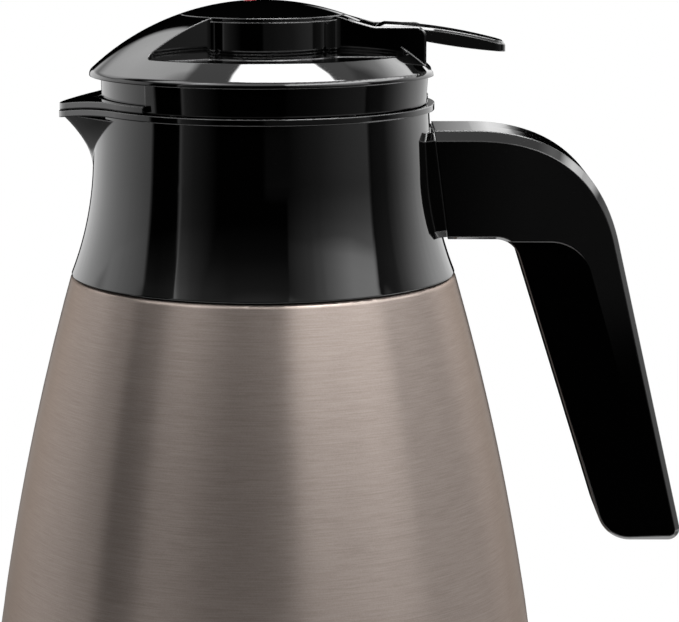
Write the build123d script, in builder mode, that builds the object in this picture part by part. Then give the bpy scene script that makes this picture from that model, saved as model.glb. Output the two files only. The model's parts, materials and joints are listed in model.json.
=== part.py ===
from build123d import *
import os
from math import atan2, cos, hypot, radians, sin, sqrt, tan

# Thermal carafe with a press-lever lid, in millimetres.
# X runs from the spout (-X) to the handle (+X) and Z is up. The origin is on the
# carafe's axis, at the underside of its non-slip pad.

# ---- Driving dimensions -------------------------------------------------------

seat_gap = 0.3              # gap between rigid pieces that part or turn on each other
fit_gap = 0.1               # gap round a piece that is pushed or glued in
pin_gap = 0.08              # radial running clearance of the pin and the stem

# Steel body: a side that bows out from the shoulder to the foot
shoulder_z = 155.9
shoulder_r = 56.3
belly_z = 12.0
belly_r = 83.8
side_arc_r = 790.0
sheet = 0.6                 # steel sheet thickness
edge_round = 1.2
ledge_width = 3.6           # flat ledge that the collar stands on
shoulder_sagitta = 3.0      # how far the shoulder under the collar bulges
foot_corner_r = 9.5
foot_ring_width = 8.0
base_dish = 3.0             # how far the base plate's middle is pressed in
base_dish_r = 46.0
base_dish_slope = 5.6
vacuum_gap = 5.5            # between the outer shell and the flask
neck_r = 34.0               # inside the flask's neck
neck_length = 16.0
neck_rise = 30.1            # from the shoulder to the top of the neck
neck_lip = 1.4              # flange on top of the neck
neck_lip_fold = 1.0
flask_throat = 3.0          # how far the flask's neck runs on below the shell's
flask_flare_sagitta = 2.4
flask_top_drop = 6.0        # from the shoulder to the top of the flask's side
flask_foot_rise = 11.5      # from the shell's foot to the foot of the flask's side
flask_corner = 12.0
flask_floor_dip = 1.5
pad_r = 72.5
pad_thickness = 1.6
getter_r = 9.0
getter_width = 2.5
getter_height = 2.0
getter_x = 26.0
seal_plug_r = 3.5

# Collar: a moulding with a pouring rim, a spout and a pad for the handle
collar_foot_r = 56.4
collar_waist_r = 49.5
collar_waist_rise = 31.5    # from the shoulder to the waist
collar_top_r = 48.5
collar_curve = 1.75         # how the collar's foot flares
collar_wall = 2.2
collar_foot_gap = 0.5       # dark line between the steel and the collar
rim_rise = 50.0             # from the shoulder to the top of the rim
rim_r = 50.0
rim_thickness = 1.8
rim_width = 3.8
bowl_depth = 17.6           # from the rim down to the floor round the neck
bowl_corner_r = 5.0
web_thickness = 2.4
web_fillet = 1.0
spout_reach = 59.2
spout_nose_r = 12.0
spout_drop = 2.4            # how far the spout's tip lies below the rim
spout_root_drop = 18.9      # how far below the rim the spout leaves the collar
spout_end_drop = 3.0        # where its outside meets the rim's underside
spout_overhang = 0.3        # of the rim's edge beyond that
spout_curve = 1.85          # how the spout's outside curves up and out
spout_lip = 2.9             # width of the rim at the spout's tip
root_pad_margin = 0.6       # by which the handle covers its pad on the collar
root_pad_depth = 10.0

# Neck gasket and the ring that holds the collar down
gasket_wall = 4.1
gasket_skirt_length = 2.6
lock_ring_r = 45.0
lock_ring_flange = 3.0
lock_ring_depth = 6.0

# Handle
handle_width = 30.0
handle_edge = 2.2           # depth of the bevels along its sides
handle_top_bevel = 2.9      # width of the bevel on the side face, along the top
handle_outer_bevel = 1.6    # along the grip's outer side
handle_inner_bevel = 1.0    # along the underside and the grip's inner side
handle_top_drop = 7.0       # from the rim to the top of the handle
handle_bar = 31.5           # depth of the top bar
handle_root_x = 49.6        # at the top of the root face
handle_root_lean = 4.1      # how much further out the root face's foot is
handle_bend_start = 60.5    # where the top begins to bend down
handle_bend_drop = 32.5     # from the top down to the end of that bend
handle_bend_out = 89.3      # middle of the bend
handle_bend_down = 8.6      # below the top there
handle_outer_x = 95.6       # where the top and the grip's outer line would meet
handle_outer_lean = 13.0    # degrees
handle_inner_x = 72.7       # where the underside and the grip's inner line would meet
handle_inner_lean = 17.4    # degrees
handle_inner_bend_r = 7.0
handle_drop = 128.2         # from the rim to the grip's lower end
flank_crease_x = 92.3       # where the grip's flanks start to taper, at the underside
flank_crease_lean = 16.0    # degrees
flank_taper = 4.5           # degrees
flank_top_drop = 0.5        # from the underside to the top of the taper
flank_corner_r = 12.0
handle_tip_r = 3.4
handle_tip_inner_r = 10.0
grip_wall = 3.4
grip_cover_width = 19.0
grip_cover_thickness = 2.4
grip_cover_top = 10.0       # from the underside of the bar to the cover
grip_cover_end = 10.0       # from the cover to the grip's lower end
grip_cover_ledge = 1.2      # ledge that the cover lies on
grip_cover_bevel = 0.6
screw_r = 2.0
screw_head_r = 3.8
screw_head_height = 2.4
screw_length = 14.0
root_screw_spacing = 8.4
root_screw_offset = -7.5    # of the pair's middle, along the root face

# Lid: base moulding with the skirt
skirt_foot_r = 48.0
skirt_top_r = 48.7
skirt_wall = 2.1
skirt_height = 8.7
lid_floor = 2.0
skirt_cut_x = -31.4         # where the skirt stops beside the spout
front_wall_r = 46.8
front_wall = 1.6
flap_slot = 15.2            # opening in that wall for the flap's arm
flap_slot_depth = 8.2
gland_wall = 2.2            # round the stem's seal
spring_well_r = 7.0
spring_well_wall = 1.6
spring_well_depth = 8.0

# Lid: stopper barrel in the neck
stopper_gap = 1.0           # between the barrel and the neck
barrel_wall = 2.0
barrel_flange_width = 5.0
barrel_flange = 1.6
barrel_floor = 2.0
barrel_bevel = 1.5
barrel_below_flange = 24.7
port_r = 13.0
window_height = 8.4
window_width = 15.0
window_corner_r = 2.0
window_turn = 32.0          # degrees between windows
stopper_seal_width = 4.2
stopper_seal_thickness = 1.8
stopper_seal_bevel = 0.8

# Lid: cover, a dome with two finger pockets
lid_r = 50.1
dome_rise = 20.0
cover_edge = 1.2            # height of the cover's edge
cover_edge_r = 2.0          # rounding between the dome and that edge
cover_lip = 0.7             # how far the edge hangs below the skirt's top
cover_wall = 2.2
pocket_r = 43.8
pocket_depth = 1.0          # below the dome, at the pocket's outer edge
pocket_corner_r = 2.2
knob_r = 23.5
bridge_root_y = 16.9        # half width of the front bridge at x = -10
bridge_flare = 0.584        # how fast it widens
housing_width = 20.0
housing_reach = 47.3
housing_top_drop = 7.0      # from the top of the dome to the housing's walls
housing_corner_r = 3.0
housing_root_gap = 1.0      # from the knob to the housing's walls
housing_blend_r = 5.0
housing_edge = 0.5
lever_slot = 16.8
slot_front_x = 28.4
cap_edge = 1.1
cap_gap = 0.25
cap_spigot = 2.2
cap_spigot_wall = 1.4
mark_r = 2.0
mark_x = -3.4
lid_screw_r = 1.6
lid_screw_head_r = 3.0
lid_screw_head_height = 1.6
lid_screw_length = 9.0
lid_boss_r = 3.4
lid_screw_places = [(-22.0, 32.2), (24.0, 30.7), (-22.0, -32.2), (24.0, -30.7)]

# Lid: rocker, made of the lever and the spout flap, on one steel pin
pivot_x = -20.0
pivot_rise = 6.1            # above the rim
pin_r = 1.5
hub_r = 3.4
ear_r = 4.2
ear_thickness = 4.0
lever_width = 15.0
lever_tip_width = 11.5
lever_reach = 70.3
lever_tip_drop = 11.9       # from the top of the dome to the lever's tip
lever_tip_thickness = 2.7
lever_beam = 5.0            # depth of the lever between the housing's walls
lever_crest = 7.0           # from the slot's front to the lever's highest point
lever_crest_rise = 0.5      # of that point above the housing's walls
lever_sagitta = 1.0         # of the lever's top line
lever_edge = 0.8
lever_tip_r = 3.5
nose_r = 2.0                # of the nose that presses the valve
flap_gap = 0.4
flap_thickness = 1.8
flap_inner_r = 47.6
flap_inset = 0.2
arm_width = 14.0
arm_thickness = 2.2
arm_step = 2.5              # how far the arm climbs over the lid's floor
tongue_reach = 16.0
tongue_thickness = 3.0
flap_screw_r = 1.2
flap_screw_head_r = 2.2
flap_screw_head_height = 1.2
flap_screw_places = [(-27.5, 0), (-33.0, 0)]

# Lid: pour valve
stem_r = 2.0
button_r = 6.4
button_thickness = 2.0
button_spigot = 2.5         # into the spring
button_rise = 4.2           # from the lid's floor up to the button's underside
valve_r = 16.0
valve_thickness = 2.6
valve_seal_width = 2.0
valve_seal_thickness = 0.9
valve_seal_proud = 0.5
valve_cone = 3.0
valve_port_gap = 1.2        # between the valve's cone and its port
valve_bevel = 0.8
nut_r = 4.0
nut_height = 2.6
stem_tail = 1.0             # of the stem below its nut
spring_r = 5.1
spring_wire = 1.0
spring_turns = 5.0
stem_seal_wire = 1.5

# ---- Levels and lines that follow ---------------------------------------------

rim_z = shoulder_z + rim_rise
neck_top_z = shoulder_z + neck_rise
bowl_z = rim_z - bowl_depth
web_z = bowl_z - web_thickness
handle_top_z = rim_z - handle_top_drop
handle_under_z = handle_top_z - handle_bar
handle_end_z = rim_z - handle_drop
lid_z = rim_z + seat_gap
floor_z = lid_z + lid_floor
skirt_top_z = lid_z + skirt_height
dome_edge_z = skirt_top_z - cover_lip + cover_edge
dome_top_z = dome_edge_z + dome_rise
dome_r = (lid_r**2 + dome_rise**2) / (2 * dome_rise)
dome_centre_z = dome_top_z - dome_r
pivot_z = rim_z + pivot_rise
barrel_r = neck_r - stopper_gap
barrel_flange_r = barrel_r + barrel_flange_width
stopper_seal_r = barrel_r + seat_gap + stopper_seal_width
side_half_chord = hypot(belly_r - shoulder_r, shoulder_z - belly_z) / 2
side_lean = atan2(belly_r - shoulder_r, shoulder_z - belly_z)
side_centre_depth = sqrt(side_arc_r**2 - side_half_chord**2)
side_centre_r = (belly_r + shoulder_r) / 2 - side_centre_depth * cos(side_lean)
side_centre_z = (shoulder_z + belly_z) / 2 - side_centre_depth * sin(side_lean)


def side_r(z, inset=0.0):
    """Radius of the steel body's side at height z, or of a skin inside it."""
    return side_centre_r + sqrt((side_arc_r - inset) ** 2 - (z - side_centre_z) ** 2)


def side_arc(z_from, z_to, inset=0.0):
    """The side's arc between two heights."""
    z_mid = (z_from + z_to) / 2
    return ThreePointArc(
        (side_r(z_from, inset), z_from),
        (side_r(z_mid, inset), z_mid),
        (side_r(z_to, inset), z_to),
    )


def dome_z(r, inset=0.0):
    """Height of the lid's dome at radius r, or of a skin inside it."""
    return dome_centre_z + sqrt((dome_r - inset) ** 2 - r**2)


def collar_r(z, inset=0.0):
    """Outer radius of the collar's flared foot at height z."""
    share = (z - shoulder_z) / collar_waist_rise
    return collar_waist_r + (collar_foot_r - collar_waist_r) * (1 - share) ** collar_curve - inset


def spout_outline(body_r, reach, nose_r):
    """A round outline with a nose towards -X."""
    Circle(body_r)
    with Locations((nose_r - reach, 0)):
        Circle(nose_r)
    make_hull()


# ---- Steel body ----------------------------------------------------------------

outer_neck_r = neck_r + 2 * sheet + fit_gap
with BuildPart() as outer_shell:
    with BuildSketch(Plane.XZ):
        with BuildLine():
            neck = Line((outer_neck_r, neck_top_z), (outer_neck_r, neck_top_z - neck_length))
            ledge_start = (shoulder_r - edge_round - ledge_width, shoulder_z)
            SagittaArc(neck @ 1, ledge_start, shoulder_sagitta)
            ledge = Line(ledge_start, (shoulder_r - edge_round, shoulder_z))
            edge_z = shoulder_z - edge_round
            edge = TangentArc(ledge @ 1, (side_r(edge_z), edge_z), tangent=(1, 0))
            side = side_arc(edge_z, belly_z)
            corner_end = (side_r(belly_z) - foot_corner_r, pad_thickness)
            corner = TangentArc(side @ 1, corner_end, tangent=side % 1)
            Line(corner @ 1, (corner_end[0] - foot_ring_width, pad_thickness))
            offset(amount=sheet, side=Side.RIGHT)
        make_face()
    revolve(axis=Axis.Z)

base_plate_r = corner_end[0] - foot_ring_width - fit_gap
with BuildPart() as base_plate:
    with BuildSketch(Plane.XZ):
        with BuildLine():
            Polyline(
                (seal_plug_r + fit_gap, pad_thickness + base_dish),
                (base_dish_r, pad_thickness + base_dish),
                (base_dish_r + base_dish_slope, pad_thickness),
                (base_plate_r, pad_thickness),
            )
            offset(amount=sheet, side=Side.LEFT)
        make_face()
    revolve(axis=Axis.Z)

with BuildPart() as vacuum_seal_plug:
    with BuildSketch(Plane.XY.offset(pad_thickness + base_dish - sheet)):
        Circle(seal_plug_r)
    extrude(amount=2 * sheet)
    fillet(vacuum_seal_plug.edges().group_by(Axis.Z)[-1], sheet / 3)

with BuildPart() as getter:
    with BuildSketch(Plane.XY.offset(pad_thickness + base_dish + sheet)):
        with Locations((getter_x, 0)):
            Circle(getter_r)
            Circle(getter_r - getter_width, mode=Mode.SUBTRACT)
    extrude(amount=getter_height)

with BuildPart() as base_pad:
    with BuildSketch():
        Circle(pad_r)
    extrude(amount=pad_thickness)
    with BuildSketch(Plane.XY.offset(pad_thickness)):
        Circle(base_dish_r)
    extrude(amount=base_dish - sheet)
    fillet(base_pad.edges().group_by(Axis.Z)[0], pad_thickness / 3)

liner_inset = 2 * sheet + vacuum_gap
liner_top_z = shoulder_z - flask_top_drop
liner_foot_z = belly_z + flask_foot_rise
with BuildPart() as inner_flask:
    with BuildSketch(Plane.XZ):
        with BuildLine():
            lip_z = neck_top_z + sheet
            throat_end = (neck_r, neck_top_z - neck_length - flask_throat)
            Polyline((neck_r + neck_lip + neck_lip_fold, lip_z), (neck_r, lip_z), throat_end)
            flank = side_arc(liner_top_z, liner_foot_z, liner_inset)
            SagittaArc(throat_end, flank @ 0, flask_flare_sagitta)
            floor_edge = ((flank @ 1).X - flask_corner, liner_foot_z - flask_corner)
            TangentArc(flank @ 1, floor_edge, tangent=flank % 1)
            floor_arc_r = (floor_edge[0] ** 2 + flask_floor_dip**2) / (2 * flask_floor_dip)
            RadiusArc(floor_edge, (0, floor_edge[1] - flask_floor_dip), floor_arc_r)
            offset(amount=sheet, side=Side.LEFT)
        make_face()
    revolve(axis=Axis.Z)

# ---- Collar --------------------------------------------------------------------

collar_foot_z = shoulder_z + collar_foot_gap
waist_z = shoulder_z + collar_waist_rise
spout_steps = 4
root_normal = (handle_bar, 0, handle_root_lean)
root_centre = (handle_root_x + handle_root_lean / 2, 0, handle_top_z - handle_bar / 2)
root_plane = Plane(origin=root_centre, x_dir=(0, 1, 0), z_dir=root_normal)
root_length = hypot(handle_bar, handle_root_lean)
gasket_r = neck_r + gasket_wall
screw_seat = root_plane.offset(-collar_wall - 1.0)
screw_places = [(0, root_screw_offset + side * root_screw_spacing / 2) for side in (1, -1)]


def spout_section(step):
    """Depth below the rim and reach of the spout's outside, from its root (0) up."""
    share = step / spout_steps
    drop = spout_root_drop + (spout_end_drop - spout_root_drop) * share
    root_reach = collar_waist_r + fit_gap
    return drop, root_reach + (spout_reach - spout_overhang - root_reach) * share**spout_curve


def rim_band(r_from, top, thickness, reach):
    """Section of a band that lies flat on the rim and slopes down along the spout."""
    slope = spout_drop / (spout_reach - rim_r)
    drop = slope * (reach - rim_r)
    Polyline(
        (r_from, top),
        (rim_r, top),
        (reach, top - drop),
        (reach, top - drop - thickness),
        (rim_r, top - thickness),
        (r_from, top - thickness),
        close=True,
    )


with BuildPart() as rim_lip:
    with BuildSketch(Plane.XY.offset(rim_z - 8)):
        spout_outline(rim_r, spout_reach, spout_nose_r)
    extrude(amount=10)
    with BuildSketch(Plane.XZ):
        with BuildLine():
            rim_band(rim_r - rim_width - 1, rim_z, rim_thickness, spout_reach + 5)
        make_face()
    revolve(axis=Axis.Z, mode=Mode.INTERSECT)

with BuildPart() as collar:
    with BuildSketch(Plane.XZ):
        with BuildLine():
            Polyline(
                (0, rim_z - rim_thickness),
                (0, shoulder_z),
                (shoulder_r - edge_round - fit_gap, shoulder_z),
                (shoulder_r - edge_round - fit_gap, collar_foot_z),
                (collar_r(collar_foot_z), collar_foot_z),
            )
            ThreePointArc(
                (collar_r(collar_foot_z), collar_foot_z),
                (collar_r((shoulder_z + waist_z) / 2), (shoulder_z + waist_z) / 2),
                (collar_waist_r, waist_z),
            )
            Polyline(
                (collar_waist_r, waist_z),
                (collar_top_r, rim_z - rim_thickness),
                (0, rim_z - rim_thickness),
            )
        make_face()
    revolve(axis=Axis.Z)
    # The spout's outside
    for drop, reach in [spout_section(step) for step in range(spout_steps + 1)]:
        with BuildSketch(Plane.XY.offset(rim_z - drop)):
            spout_outline(collar_top_r - seat_gap, reach, spout_nose_r)
    loft()
    # The pad for the handle
    with BuildSketch(root_plane):
        Rectangle(handle_width - 2 * root_pad_margin, root_length - 2 * root_pad_margin)
        chamfer(vertices(), handle_edge)
    extrude(amount=-root_pad_depth)
    add(rim_lip.part)
    # The bowl inside, above the web
    with BuildSketch(Plane.XZ):
        with BuildLine():
            bowl_wall_r = collar_top_r - collar_wall
            wall_foot = (bowl_wall_r, bowl_z + bowl_corner_r)
            floor_edge = (bowl_wall_r - bowl_corner_r, bowl_z)
            Polyline(floor_edge, (0, bowl_z), (0, rim_z + 1), (bowl_wall_r, rim_z + 1), wall_foot)
            TangentArc(wall_foot, floor_edge, tangent=(0, -1))
        make_face()
    revolve(axis=Axis.Z, mode=Mode.SUBTRACT)
    # The spout's trough
    trough = [spout_section(step) for step in range(spout_steps)]
    trough = [(drop, reach - collar_wall) for drop, reach in trough]
    trough += [(rim_thickness, spout_reach - spout_lip), (-1, spout_reach - spout_lip + 0.6)]
    for drop, reach in trough:
        with BuildSketch(Plane.XY.offset(rim_z - drop)):
            spout_outline(bowl_wall_r - fit_gap, reach, spout_nose_r - collar_wall)
    loft(mode=Mode.SUBTRACT)
    # The hollow under the web, round the steel shoulder
    with BuildSketch(Plane.XZ):
        with BuildLine():
            hollow_top_z = web_z - web_fillet
            Polyline(
                (0, web_z),
                (0, shoulder_z - 5),
                (collar_r(shoulder_z, collar_wall), shoulder_z - 5),
                (collar_r(shoulder_z, collar_wall), shoulder_z),
            )
            ThreePointArc(
                (collar_r(shoulder_z, collar_wall), shoulder_z),
                (
                    collar_r((shoulder_z + hollow_top_z) / 2, collar_wall),
                    (shoulder_z + hollow_top_z) / 2,
                ),
                (collar_r(hollow_top_z, collar_wall), hollow_top_z),
            )
            Polyline(
                (collar_r(hollow_top_z, collar_wall), hollow_top_z),
                (collar_r(hollow_top_z, collar_wall) - web_fillet, web_z),
                (0, web_z),
            )
        make_face()
    revolve(axis=Axis.Z, mode=Mode.SUBTRACT)
    # The web's hole for the neck gasket
    with BuildSketch(Plane.XY.offset(web_z - 1)):
        Circle(gasket_r + fit_gap)
    extrude(amount=web_thickness + 2, mode=Mode.SUBTRACT)
    # Seats and holes for the handle's screws
    with Locations(root_plane):
        with Locations(*screw_places):
            Cylinder(screw_r + 2 * fit_gap, 4 * root_pad_depth, mode=Mode.SUBTRACT)
    with BuildSketch(screw_seat):
        with Locations(*screw_places):
            Circle(screw_head_r + seat_gap)
    extrude(amount=-root_pad_depth, mode=Mode.SUBTRACT)

with BuildPart() as neck_gasket:
    with BuildSketch(Plane.XZ):
        with BuildLine():
            skirt_r = outer_neck_r + neck_lip
            Polyline(
                (neck_r, neck_top_z + sheet),
                (neck_r, bowl_z),
                (gasket_r, bowl_z),
                (gasket_r, web_z - gasket_skirt_length),
                (skirt_r, web_z - gasket_skirt_length),
                (skirt_r, neck_top_z + sheet),
                close=True,
            )
        make_face()
    revolve(axis=Axis.Z)

with BuildPart() as lock_ring:
    with BuildSketch(Plane.XZ):
        with BuildLine():
            ring_top_z = web_z - gasket_skirt_length
            Polyline(
                (outer_neck_r + fit_gap, web_z - lock_ring_depth),
                (outer_neck_r + fit_gap, ring_top_z),
                (gasket_r + fit_gap, ring_top_z),
                (gasket_r + fit_gap, web_z),
                (gasket_r + lock_ring_flange, web_z),
                (lock_ring_r, ring_top_z),
                (lock_ring_r, web_z - lock_ring_depth),
                close=True,
            )
        make_face()
    revolve(axis=Axis.Z)

# ---- Handle --------------------------------------------------------------------


def grip_x(z, corner_x, corner_z, lean):
    """X of a grip line at height z, leaning out from its upper corner."""
    return corner_x + (corner_z - z) * tan(radians(lean))


def outer_x(z):
    return grip_x(z, handle_outer_x, handle_top_z, handle_outer_lean)


def inner_x(z):
    return grip_x(z, handle_inner_x, handle_under_z, handle_inner_lean)


def root_x(z):
    """X of the handle's root face at height z."""
    return handle_root_x + handle_root_lean * (handle_top_z - z) / handle_bar


def handle_outline(top_inset=0.0, outer_inset=0.0, inner_inset=0.0):
    """Side outline of the handle, with each side moved in by its own inset."""
    top_z = handle_top_z - top_inset
    under_z = handle_under_z + inner_inset
    end_z = handle_end_z + outer_inset
    outer_step = outer_inset / cos(radians(handle_outer_lean))
    inner_step = inner_inset / cos(radians(handle_inner_lean))
    bend_end_z = handle_top_z - handle_bend_drop
    bend_inset = (top_inset + outer_inset) / 2
    bend_middle = (
        handle_bend_out - 0.6 * bend_inset,
        handle_top_z - handle_bend_down - 0.8 * bend_inset,
    )
    bend_end = (outer_x(bend_end_z) - outer_step, bend_end_z)
    end_slope = (sin(radians(handle_outer_lean)), -cos(radians(handle_outer_lean)))
    Line((root_x(top_z), top_z), (handle_bend_start, top_z))
    Spline(
        (handle_bend_start, top_z),
        bend_middle,
        bend_end,
        tangents=[(1, 0), end_slope],
    )
    FilletPolyline(
        bend_end,
        (outer_x(end_z) - outer_step, end_z),
        (inner_x(end_z) + inner_step, end_z),
        (inner_x(under_z) + inner_step, under_z),
        (root_x(under_z), under_z),
        radius=(
            handle_tip_r - outer_inset,
            handle_tip_inner_r - inner_inset,
            handle_inner_bend_r + inner_inset,
        ),
    )
    Line((root_x(under_z), under_z), (root_x(top_z), top_z))


cover_top_z = handle_under_z - grip_cover_top
cover_end_z = handle_end_z + grip_cover_end
root_foot_x = handle_root_x + handle_root_lean

with BuildPart() as grip_flank:
    # What the taper takes off the grip's side, from its crease to the inner edge
    flank_top_z = handle_under_z - flank_top_drop
    flank_low_z = handle_end_z - 1
    flank_plane = Plane.XZ.offset(handle_width / 2)
    with BuildSketch(flank_plane) as flank_area:
        Polygon(
            (root_foot_x, flank_top_z),
            (grip_x(flank_top_z, flank_crease_x, handle_under_z, flank_crease_lean), flank_top_z),
            (grip_x(flank_low_z, flank_crease_x, handle_under_z, flank_crease_lean), flank_low_z),
            (root_foot_x, flank_low_z),
            align=None,
        )
        fillet(flank_area.vertices().sort_by(Axis.Y)[-2:].sort_by(Axis.X)[-1], flank_corner_r)
    extrude(amount=-handle_width / 2)
    crease = (sin(radians(flank_crease_lean)), 0, -cos(radians(flank_crease_lean)))
    crease_start = (flank_crease_x, -handle_width / 2, handle_under_z)
    with BuildSketch(Plane(origin=crease_start, x_dir=(crease[2], 0, -crease[0]), z_dir=crease)):
        taper_run = 2 * handle_bar
        Polygon(
            (0, 0),
            (taper_run, 0),
            (taper_run, taper_run * tan(radians(flank_taper))),
            align=None,
        )
    extrude(amount=handle_drop, both=True, mode=Mode.INTERSECT)

with BuildPart() as handle:
    bevel_start = handle_width / 2 - handle_edge
    with BuildSketch(Plane.XZ):
        with BuildLine():
            handle_outline()
        make_face()
    extrude(amount=bevel_start)
    # Bevels between the side face and the outline
    with BuildSketch(Plane.XZ.offset(bevel_start)):
        with BuildLine():
            handle_outline()
        make_face()
    with BuildSketch(Plane.XZ.offset(handle_width / 2)):
        with BuildLine():
            handle_outline(handle_top_bevel, handle_outer_bevel, handle_inner_bevel)
        make_face()
    loft(ruled=True)
    add(grip_flank.part, mode=Mode.SUBTRACT)
    mirror(about=Plane.XZ)
    # The hollow inside, from the screws down to the grip's end
    with BuildSketch(Plane.XZ):
        with BuildLine():
            handle_outline(grip_wall, grip_wall, grip_wall)
        make_face()
        with Locations((root_foot_x + screw_length, handle_under_z)):
            solid_root = (handle_bar, 3 * handle_bar)
            Rectangle(*solid_root, align=(Align.MAX, Align.CENTER), mode=Mode.SUBTRACT)
    extrude(amount=grip_cover_width / 2 - grip_cover_ledge, both=True, mode=Mode.SUBTRACT)
    # The opening on the inner side, with the seat of its cover
    with BuildSketch(Plane.XZ):
        with BuildLine():
            opening_top = cover_top_z - grip_wall
            opening_end = cover_end_z + grip_wall
            Polyline(
                (inner_x(opening_top) - 1, opening_top),
                (inner_x(opening_top) + 2 * grip_wall, opening_top),
                (inner_x(opening_end) + 2 * grip_wall, opening_end),
                (inner_x(opening_end) - 1, opening_end),
                close=True,
            )
        make_face()
    extrude(amount=grip_cover_width / 2 - grip_cover_ledge, both=True, mode=Mode.SUBTRACT)
    with BuildSketch(Plane.XZ):
        with BuildLine():
            Polyline(
                (inner_x(cover_top_z) - 2, cover_top_z),
                (inner_x(cover_top_z) + grip_cover_thickness, cover_top_z),
                (inner_x(cover_end_z) + grip_cover_thickness, cover_end_z),
                (inner_x(cover_end_z) - 2, cover_end_z),
                close=True,
            )
        make_face()
    extrude(amount=grip_cover_width / 2, both=True, mode=Mode.SUBTRACT)
    # Threaded holes for the screws from inside the collar
    with Locations(root_plane):
        with Locations(*screw_places):
            Cylinder(screw_r + fit_gap / 2, 2 * screw_length, mode=Mode.SUBTRACT)

with BuildPart() as grip_cover:
    with BuildSketch(Plane.XZ):
        with BuildLine():
            cover_high = cover_top_z - fit_gap
            cover_low = cover_end_z + fit_gap
            Polyline(
                (inner_x(cover_high), cover_high),
                (inner_x(cover_high) + grip_cover_thickness, cover_high),
                (inner_x(cover_low) + grip_cover_thickness, cover_low),
                (inner_x(cover_low), cover_low),
                close=True,
            )
        make_face()
    extrude(amount=grip_cover_width / 2 - fit_gap, both=True)
    grip_skin = grip_cover.faces().filter_by(GeomType.PLANE).sort_by(Axis.X)[0]
    chamfer(grip_skin.edges(), grip_cover_bevel)

with BuildPart() as handle_screws:
    with BuildSketch(screw_seat):
        with Locations(*screw_places):
            Circle(screw_head_r)
    extrude(amount=-screw_head_height)
    with BuildSketch(screw_seat):
        with Locations(*screw_places):
            Circle(screw_r)
    extrude(amount=screw_length)
    with BuildSketch(screw_seat.offset(-screw_head_height)):
        with Locations(*screw_places):
            RegularPolygon(screw_head_r * 0.45, 6)
    extrude(amount=screw_head_height / 2, mode=Mode.SUBTRACT)

# ---- Lid: base moulding ----------------------------------------------------------

port_top_z = floor_z - spring_well_depth
flange_z = bowl_z + seat_gap + stopper_seal_thickness + seat_gap
barrel_foot_z = flange_z - barrel_below_flange

with BuildPart() as lid_base:
    # Floor and skirt
    with BuildSketch(Plane.XY.offset(lid_z)):
        Circle(skirt_foot_r)
    extrude(amount=lid_floor)
    with BuildSketch(Plane.XZ):
        with BuildLine():
            Polyline(
                (skirt_foot_r - skirt_wall, lid_z),
                (skirt_foot_r, lid_z),
                (skirt_top_r, skirt_top_z),
                (skirt_top_r - skirt_wall, skirt_top_z),
                close=True,
            )
        make_face()
    revolve(axis=Axis.Z)
    # The front is cut back for the spout flap, behind a curved wall
    with BuildSketch(Plane.XY.offset(lid_z)):
        with Locations((skirt_cut_x, 0)):
            Rectangle(lid_r, 2 * lid_r, align=(Align.MAX, Align.CENTER))
        Circle(front_wall_r, mode=Mode.SUBTRACT)
    extrude(amount=skirt_height, mode=Mode.SUBTRACT)
    with BuildSketch(Plane.XY.offset(floor_z)):
        with Locations((skirt_cut_x + skirt_wall, 0)):
            Rectangle(lid_r, 2 * lid_r, align=(Align.MAX, Align.CENTER))
        Circle(front_wall_r, mode=Mode.INTERSECT)
        Circle(front_wall_r - front_wall, mode=Mode.SUBTRACT)
    extrude(amount=skirt_height - lid_floor)
    with BuildSketch(Plane.XY.offset(lid_z)):
        with Locations((-front_wall_r, 0)):
            Rectangle(flap_slot_depth, flap_slot)
    extrude(amount=skirt_height, mode=Mode.SUBTRACT)
    # The notch that the lever drops into
    with BuildSketch(Plane.XY.offset(floor_z)):
        with Locations((skirt_foot_r, 0)):
            Rectangle(3 * skirt_wall, lever_slot)
    extrude(amount=skirt_height, mode=Mode.SUBTRACT)
    # Ears for the pivot pin
    ear_y = lever_slot / 2
    for side in (-1, 1):
        ear_plane = Plane.XZ.offset(-side * ear_y)
        with BuildSketch(ear_plane):
            with Locations((pivot_x, pivot_z)):
                Circle(ear_r)
            with Locations((pivot_x, (pivot_z + floor_z) / 2)):
                Rectangle(2 * ear_r, pivot_z - floor_z)
        extrude(amount=-side * ear_thickness)
    with Locations((pivot_x, 0, pivot_z)):
        Cylinder(pin_r + fit_gap / 2, 3 * lever_slot, rotation=(90, 0, 0), mode=Mode.SUBTRACT)
    # Well for the valve's spring, with the stem's guide and seal below it
    with BuildSketch(Plane.XY.offset(port_top_z - lid_floor)):
        Circle(spring_well_r + spring_well_wall)
    extrude(amount=spring_well_depth + lid_floor)
    with BuildSketch(Plane.XY.offset(floor_z)):
        Circle(spring_well_r)
    extrude(amount=-spring_well_depth, mode=Mode.SUBTRACT)
    gland_r = stem_r + stem_seal_wire + gland_wall
    gland_depth = 2 * stem_seal_wire
    with BuildSketch(Plane.XY.offset(port_top_z - lid_floor)):
        Circle(gland_r)
    extrude(amount=-gland_depth)
    with BuildSketch(Plane.XY.offset(port_top_z - lid_floor - gland_depth)):
        Circle(stem_r + stem_seal_wire + fit_gap)
    extrude(amount=stem_seal_wire + 0.4, mode=Mode.SUBTRACT)
    with Locations((0, 0, port_top_z)):
        Cylinder(stem_r + pin_gap, 40, mode=Mode.SUBTRACT)
    # Screw holes for the cover
    with Locations(*[(x, y, lid_z) for x, y in lid_screw_places]):
        Cylinder(lid_screw_r + fit_gap, 3 * lid_floor, mode=Mode.SUBTRACT)

with BuildPart() as stem_seal:
    seal_z = port_top_z - lid_floor - gland_depth + stem_seal_wire / 2 + 0.3
    with Locations((0, 0, seal_z)):
        Torus(stem_r + pin_gap + stem_seal_wire / 2, stem_seal_wire / 2)

# ---- Lid: stopper barrel ---------------------------------------------------------

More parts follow.
